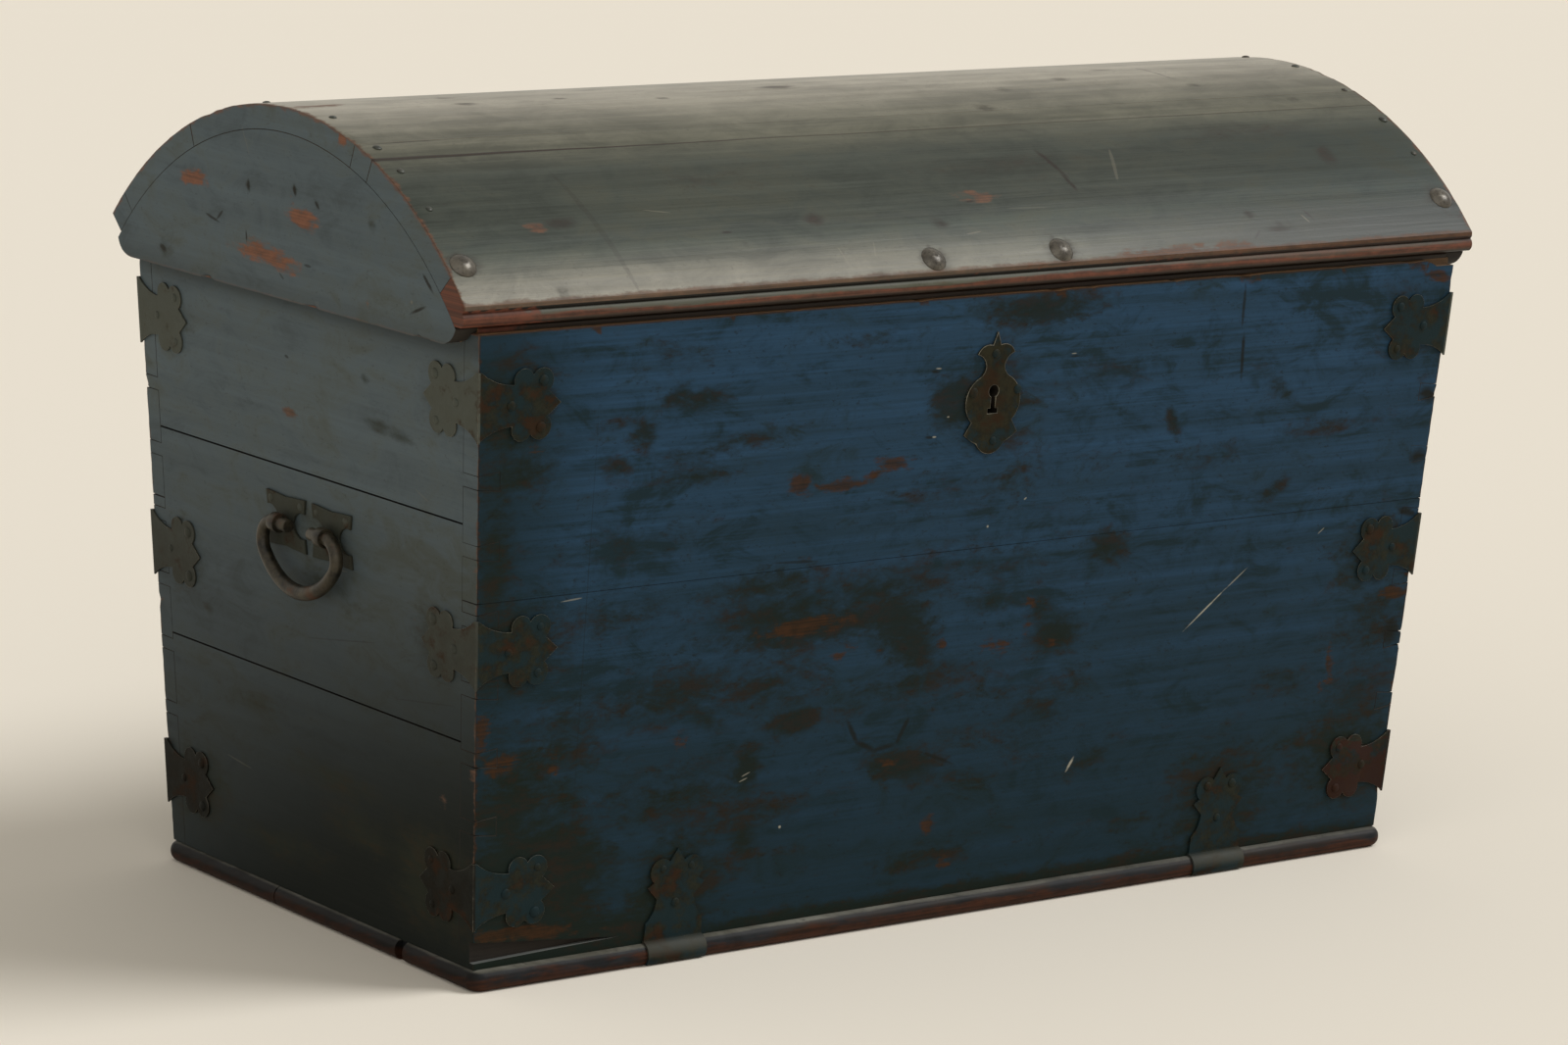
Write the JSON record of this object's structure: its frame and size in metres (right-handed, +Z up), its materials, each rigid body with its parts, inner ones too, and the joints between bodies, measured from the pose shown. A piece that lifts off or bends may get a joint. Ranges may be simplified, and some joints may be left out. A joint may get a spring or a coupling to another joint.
{
  "type": "dome top trunk",
  "caption": "Tapered board chest with a hinged domed lid of staves, iron corner straps, swinging end handles and a chest lock, for storing blankets and clothes.",
  "frame": {"origin": "on the floor under the middle of the lid, at the bottom centre of the overall box", "axes": "+X along the front to the right, +Y to the back, +Z up"},
  "size_m": [1.136, 0.5719, 0.7259],
  "materials": {
    "front_paint": "worn deep blue paint on pine",
    "end_paint": "worn slate blue paint on pine",
    "lid_paint": "worn grey green paint with a satin patina",
    "bare_wood": "unpainted aged pine",
    "iron": "wrought iron, browned and partly overpainted"
  },
  "bodies": {
    "carcass": {"floor_board_front": "front_paint", "floor_board_middle": "front_paint", "floor_board_rear": "front_paint", "front_board_upper": "front_paint", "front_board_lower": "front_paint", "back_board_upper": "end_paint", "back_board_lower": "end_paint", "left_end_board_top": "end_paint", "left_end_board_middle": "end_paint", "left_end_board_bottom": "end_paint", "right_end_board_top": "end_paint", "right_end_board_middle": "end_paint", "right_end_board_bottom": "end_paint", "corner_strap_front_left_bottom": "iron", "corner_strap_front_left_middle": "iron", "corner_strap_front_left_top": "iron", "corner_strap_front_right_bottom": "iron", "corner_strap_front_right_middle": "iron", "corner_strap_front_right_top": "iron", "corner_strap_back_left_bottom": "iron", "corner_strap_back_left_middle": "iron", "corner_strap_back_left_top": "iron", "corner_strap_back_right_bottom": "iron", "corner_strap_back_right_middle": "iron", "corner_strap_back_right_top": "iron", "foot_strap_left": "iron", "foot_strap_right": "iron", "escutcheon": "iron", "lock_case": "iron", "hinge_left_body_leaf": "iron", "hinge_right_body_leaf": "iron", "hinge_left_pin": "iron", "hinge_right_pin": "iron", "left_handle_plate_front": "iron", "left_handle_plate_back": "iron", "right_handle_plate_front": "iron", "right_handle_plate_back": "iron", "left_handle_eye_front": "iron", "left_handle_eye_back": "iron", "right_handle_eye_front": "iron", "right_handle_eye_back": "iron"},
    "lid": {"lid_end_left": "end_paint", "lid_end_right": "end_paint", "lid_front_rail": "bare_wood", "lid_back_rail": "bare_wood", "lid_front_moulding": "lid_paint", "lid_front_stave": "lid_paint", "lid_ridge_strip": "lid_paint", "lid_top_stave": "lid_paint", "lid_back_stave": "lid_paint", "lid_back_moulding": "lid_paint", "lid_hasp": "iron", "lid_rivets": "iron", "hinge_left_lid_leaf": "iron", "hinge_right_lid_leaf": "iron"},
    "left_bail": {"left_handle_bail": "iron"},
    "right_bail": {"right_handle_bail": "iron"},
    "bolt": {"lock_bolt": "iron"}
  },
  "joints": [
    {"name": "lid_hinge", "type": "hinge", "parent": "carcass", "child": "lid", "pos_m": [0, 0.2768, 0.571], "axis": [-1, 0, 0], "range_deg": [0, 105]},
    {"name": "left_bail_swing", "type": "hinge", "parent": "carcass", "child": "left_bail", "pos_m": [-0.54905, -0.012, 0.358], "axis": [0, 1, 0], "range_deg": [-5, 150]},
    {"name": "right_bail_swing", "type": "hinge", "parent": "carcass", "child": "right_bail", "pos_m": [0.54905, -0.012, 0.358], "axis": [0, -1, 0], "range_deg": [-5, 150]},
    {"name": "lock_bolt_throw", "type": "slide", "parent": "carcass", "child": "bolt", "axis": [1, 0, 0], "range_m": [0, 0.014]}
  ]
}
